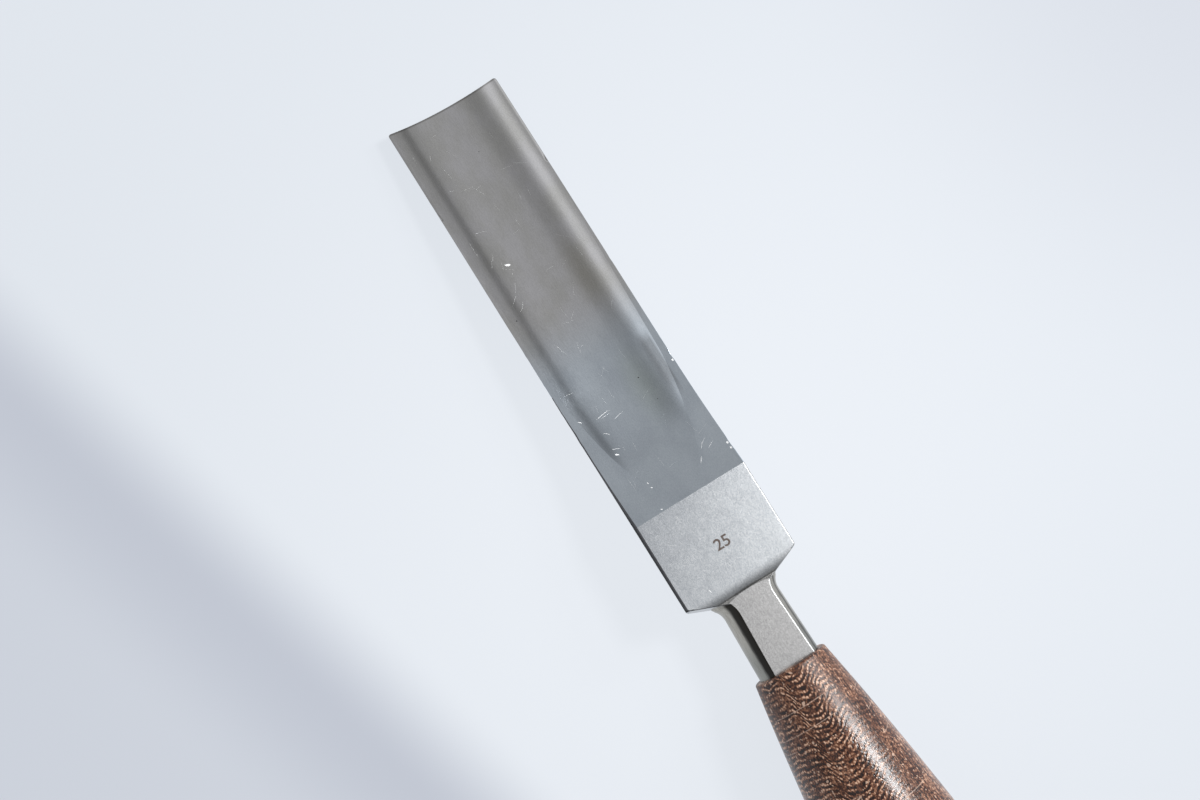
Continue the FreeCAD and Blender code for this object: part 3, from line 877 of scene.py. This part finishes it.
def thickened(mesh, weld):
    """Gives a sheet of marks a closed body that reaches into the steel, in the same order on each run."""
    bm = bmesh.new()
    bm.from_mesh(mesh)
    bmesh.ops.remove_doubles(bm, verts=bm.verts, dist=weld)
    if sum(f.normal.dot(Vector(OUT)) * f.calc_area() for f in bm.faces) < 0:
        bmesh.ops.reverse_faces(bm, faces=bm.faces)
    bmesh.ops.solidify(bm, geom=bm.faces[:], thickness=THICKNESS * MM)
    bmesh.ops.recalc_face_normals(bm, faces=bm.faces)
    bm.verts.index_update()
    points = np.array([v.co for v in bm.verts])
    order = np.lexsort(points.T)
    rank = np.argsort(order).tolist()
    rings = [[rank[v.index] for v in f.verts] for f in bm.faces]
    bm.free()
    mesh.clear_geometry()
    mesh.from_pydata(points[order].tolist(), [], sorted(r[r.index(min(r)):] + r[:r.index(min(r))] for r in rings))


# How far a mark stands off the steel, and how thick it is
LIFT, THICKNESS = 0.012, 0.03


def strokes(name, lines, material, lift=LIFT, parts=6):
    """Slender slivers on the upper face, each (x, y, length, angle from the blade's length, width, bend)."""
    b = Builder()
    for x, y, length, angle, width, bend in lines:
        a = math.radians(angle)
        ahead, aside = (math.cos(a), math.sin(a)), (-math.sin(a), math.cos(a))
        rows = []
        for s in np.linspace(-1, 1, parts + 1):
            half = max(width / 2 * math.sqrt(max(1 - s * s, 0.0)), 0.003)
            mid = (s * length / 2, bend * (1 - s * s))
            row = []
            for side in (-1, 1):
                px = x + ahead[0] * mid[0] + aside[0] * (mid[1] + side * half)
                py = y + ahead[1] * mid[0] + aside[1] * (mid[1] + side * half)
                row.append((px, py, top_of(px, py) + lift))
            rows.append(row)
        b.grid(np.array(rows), 0)
    piece = b.build(name, [material], weld=1e-9)
    thickened(piece.data, 1e-9)
    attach(piece, "root")


SCRATCHES = ((34.6, -5.5, 1.2, 67, 0.45, 0), (43.3, -7.5, 1.6, -40, 0.024, 0.1), (43.9, -8.0, 1.0, -60, 0.02, 0),
             (67.9, 12.1, 0.5, 10, 0.35, 0), (69.2, -10.3, 0.9, 50, 0.13, 0), (70.1, -5.4, 3.5, 99, 0.07, 0.1),
             (70.5, -5.0, 2.2, 96, 0.04, 0), (71.7, -2.7, 2.4, 104, 0.05, 0), (73.8, -6.9, 1.4, 49, 0.07, 0.1),
             (77.3, -7.0, 1.7, 69, 0.07, 0.1), (78.3, -7.5, 0.9, 60, 0.28, 0), (86.2, -5.6, 0.4, 0, 0.22, 0),
             (87.3, -5.5, 0.4, 30, 0.25, 0), (91.9, -6.3, 0.4, 60, 0.22, 0), (87.7, 5.7, 1.6, 142, 0.09, 0),
             (85.1, 8.0, 2.4, 128, 0.06, 0.2), (86.1, 9.0, 1.8, 118, 0.05, 0), (85.4, 7.4, 1.5, 140, 0.05, 0),
             (87.5, 12.0, 0.5, 20, 0.4, 0), (88.7, 12.0, 0.5, 0, 0.4, 0), (110.0, -6.7, 0.9, 20, 0.13, 0),
             (33.3, -8.4, 1.4, -30, 0.022, 0), (32.1, -7.6, 1.6, -42, 0.022, 0.1), (7.9, -7.3, 1.3, -25, 0.02, 0))
PITS = ((45.5, -10.2, 0.34, 0, 0.3, 0), (67.3, 4.7, 0.3, 0, 0.26, 0), (11.3, 2.0, 0.2, 0, 0.16, 0),
        (72.9, 5.6, 0.2, 0, 0.18, 0))
strokes("blade_scratches", SCRATCHES, plain("bright_scratch", (0.93, 0.94, 0.95), 0.35, 0.5))
strokes("blade_pits", PITS, plain("dark_pit", (0.035, 0.035, 0.04), 0.0, 0.7))

# faint hairs from use, scattered evenly
chance = np.random.RandomState(7)
hairs = [(chance.uniform(3, 90), chance.uniform(-10.5, 10.5), chance.uniform(1.0, 3.2),
          chance.choice((chance.normal(0, 16), chance.normal(100, 30))), chance.uniform(0.010, 0.018),
          chance.normal(0, 0.08)) for _ in range(60)]
hairs += [(chance.uniform(94, 109.5), chance.uniform(-11.3, 11.3), chance.uniform(0.6, 1.8),
           chance.uniform(0, 180), chance.uniform(0.012, 0.024), chance.normal(0, 0.16)) for _ in range(110)]
strokes("blade_hairs", hairs, plain("pale_hair", (0.86, 0.87, 0.88), 0.7, 0.45), lift=0.008)


def size_number(body, centre, height, width, material):
    """A plain number etched across the face: the width of the blade."""
    curve = bpy.data.curves.new("number", "FONT")
    curve.body = body
    curve.offset = 0.012
    curve.resolution_u = 4
    text = in_scene("number", curve)
    bpy.context.view_layer.update()
    mesh = bpy.data.meshes.new_from_object(text.evaluated_get(bpy.context.evaluated_depsgraph_get()))
    bpy.data.objects.remove(text)
    flat = np.array([v.co[:2] for v in mesh.vertices])
    low, high = flat.min(0), flat.max(0)
    share = (flat - (low + high) / 2) / (high - low)
    where = np.stack([centre[0] - share[:, 1] * height, centre[1] + share[:, 0] * width,
                      np.full(len(flat), FACE + LIFT)], 1)
    for vertex, point in zip(mesh.vertices, placed(where)):
        vertex.co = point
    thickened(mesh, 1e-7)
    mesh.materials.clear()
    mesh.materials.append(material)
    piece = in_scene("size_number", mesh)
    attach(piece, "root")


size_number("25", (103.3, 0.3), 2.35, 3.1, plain("etched_number", (0.115, 0.085, 0.07), 0.0, 0.6))

# ---------------------------------------------------------------- stage and light
floor_mesh = bpy.data.meshes.new("floor")
floor_mesh.from_pydata([(-3, -3, 0), (3, -3, 0), (3, 3, 0), (-3, 3, 0)], [], [(0, 1, 2, 3)])
floor = in_scene("floor", floor_mesh)
floor_material = bpy.data.materials.new("pale_floor")
floor_material.use_nodes = True
floor_material.node_tree.nodes.clear()
ft = Tree(floor_material.node_tree)
spot = ft.node("ShaderNodeTexCoord").outputs["Object"]
axes = ft.node("ShaderNodeSeparateXYZ")
ft.link(spot, axes.inputs[0])
# a soft grey shade lies on the floor to the lower left, beyond a slanting line
PALE, FAR = (0.84, 0.88, 0.935, 1), (0.755, 0.80, 0.86, 1)
SHADED, CORNER = (0.515, 0.55, 0.63, 1), (0.55, 0.575, 0.65, 1)
# Share of the floor's look that is its own glow
GLOW = 0.87
SHADE_START, SHADE_TURN = (-0.131, -0.0955), math.radians(15.4)
ahead, aside = (ft.minus(axes.outputs[number], SHADE_START[number]) for number in (0, 1))
beyond = ft.minus(ft.times(ahead, math.sin(SHADE_TURN)), ft.times(aside, math.cos(SHADE_TURN)))
shade = ft.times(ft.range(beyond, -0.010, 0.010), ft.range(beyond, 0.010, 0.034, 1.0, 0.66))
near = ft.times(ft.spot(spot, (-0.065, -0.12, 0.0), (5.0, 5.0, 0.0)), 2.0, clamp=True)
# painted light: the floor is brightest (PALE) in a pool round the middle and dimmer (FAR) further off
pale = ft.mix(ft.spot(spot, (-0.03, 0.005, 0.0), (6.5, 6.5, 0.0)), FAR, PALE)
# painted shade in the far corner of the floor (CORNER)
corner = ft.times(ft.spot(spot, (-0.08, 0.185, 0.0), (8.0, 8.0, 0.0)), 0.55)
pale = ft.mix(corner, pale, CORNER)
pale = ft.mix(ft.times(shade, near), pale, SHADED)
lit = ft.node("ShaderNodeBsdfDiffuse")
lit.inputs["Color"].default_value = (0.80, 0.82, 0.86, 1)
glow = ft.node("ShaderNodeEmission")
ft.link(pale, glow.inputs["Color"])
path_of = ft.node("ShaderNodeLightPath")
seen = ft.math("MAXIMUM", ft.math("MAXIMUM", path_of.outputs["Is Camera Ray"], path_of.outputs["Is Glossy Ray"]),
               path_of.outputs["Is Transmission Ray"])
blend = ft.node("ShaderNodeMixShader")
ft.link(ft.times(seen, GLOW), blend.inputs[0])
ft.link(lit.outputs[0], blend.inputs[1])
ft.link(glow.outputs[0], blend.inputs[2])
ft.link(blend.outputs[0], ft.node("ShaderNodeOutputMaterial").inputs["Surface"])
floor_mesh.materials.append(floor_material)

world = bpy.data.worlds.new("studio")
bpy.context.scene.world = world
world.use_nodes = True
wt = Tree(world.node_tree)
background = world.node_tree.nodes["Background"]


# The studio round the gouge, by the angle across it and along it: a window on the right, a dim left side,
# and a soft ceiling that is brightest straight above and darkens towards the handle
HORIZON = (0.69, 0.725, 0.775, 1)
ACROSS = ((-100, 0.35), (-60, 0.38), (-42, 0.44), (-35, 0.47), (-31, 0.62), (-27, 0.84), (-23, 0.62),
          (-19.5, 0.43), (-15, 0.34), (-9, 0.36), (-3, 0.44), (12, 0.48), (28, 0.50), (36, 0.46), (41.5, 0.40),
          (46, 0.25), (50.5, 0.38), (57, 0.43), (64, 0.9), (75, 1.3), (100, 1.3))
ALONG = ((-90, 0.9), (-40, 0.98), (-9, 1.0), (-4, 1.15), (1, 1.35), (12, 1.4), (26, 1.1), (48, 0.45), (60, 0.5),
         (90, 0.8))
direction = wt.node("ShaderNodeTexCoord").outputs["Generated"]
cross = wt.times(wt.math("ARCTAN2", wt.dot(direction, (0, 1, 0)), wt.dot(direction, OUT)), 180 / math.pi)
length_angle = wt.times(wt.math("ARCSINE", wt.dot(direction, AXIS)), 180 / math.pi)
banded = wt.curve(cross, -100.0, 100.0, ACROSS, 2.0)
# far ahead of the cutting edge the bands give way to an even grey
EVEN = 0.45
bands_seen = wt.range(length_angle, -30.0, -21.0)
level = wt.plus(wt.times(wt.minus(banded, EVEN), bands_seen), EVEN)
studio = wt.times(level, wt.curve(length_angle, -90.0, 90.0, ALONG, 2.0))
grey = wt.node("ShaderNodeCombineColor")
for socket in grey.inputs[:3]:
    wt.link(studio, socket)
horizon = wt.range(wt.dot(direction, (0, 0, 1)), 0.10, 0.30)
wt.link(wt.mix(horizon, HORIZON, grey.outputs[0]), background.inputs["Color"])


def lamp(name, place, aim, size, power):
    """Rectangular lamp that the camera doesn't see."""
    light = bpy.data.lights.new(name, "AREA")
    light.shape = "RECTANGLE"
    light.size, light.size_y = size
    light.energy = power
    item = in_scene(name, light)
    item.location = place
    item.rotation_euler = (Vector(aim) - Vector(place)).to_track_quat("-Z", "Y").to_euler()
    item.visible_camera = False


MIDDLE = (0.0, 0.0, 0.02)


def toward(cross_angle, along_angle, distance, centre=MIDDLE):
    """Place at a distance from a centre, by its angles across the gouge and along it."""
    c, a = math.radians(cross_angle), math.radians(along_angle)
    ray = AXIS * math.sin(a) + (np.array([0, 1.0, 0]) * math.sin(c) + OUT * math.cos(c)) * math.cos(a)
    return tuple(np.array(centre) + ray * distance)


lamp("key", toward(36.0, -1.5, 0.6), MIDDLE, (0.15, 0.13), 2.1)
front = tuple(placed((133.0, 0.0, 8.0)))
lamp("side", toward(54.0, -9.5, 0.4, front), front, (0.09, 0.09), 0.36)

# ---------------------------------------------------------------- camera
camera_data = bpy.data.cameras.new("camera")
camera_data.lens, camera_data.sensor_width = 51.0, 36.0
camera_data.clip_start, camera_data.clip_end = 0.01, 20.0
camera = in_scene("camera", camera_data)
place = Vector((-0.046947, -0.068504, 0.335122))
forward = Vector((-0.03288, 0.19254, -0.98074)).normalized()
right = Vector((0.51683, 0.84316, 0.1482))
right = (right - forward * right.dot(forward)).normalized()
up = right.cross(forward)
camera.matrix_world = Matrix(((right.x, up.x, -forward.x, place.x), (right.y, up.y, -forward.y, place.y),
                              (right.z, up.z, -forward.z, place.z), (0, 0, 0, 1)))
bpy.context.scene.camera = camera
bpy.context.scene.view_settings.view_transform = "Standard"

bpy.context.view_layer.update()
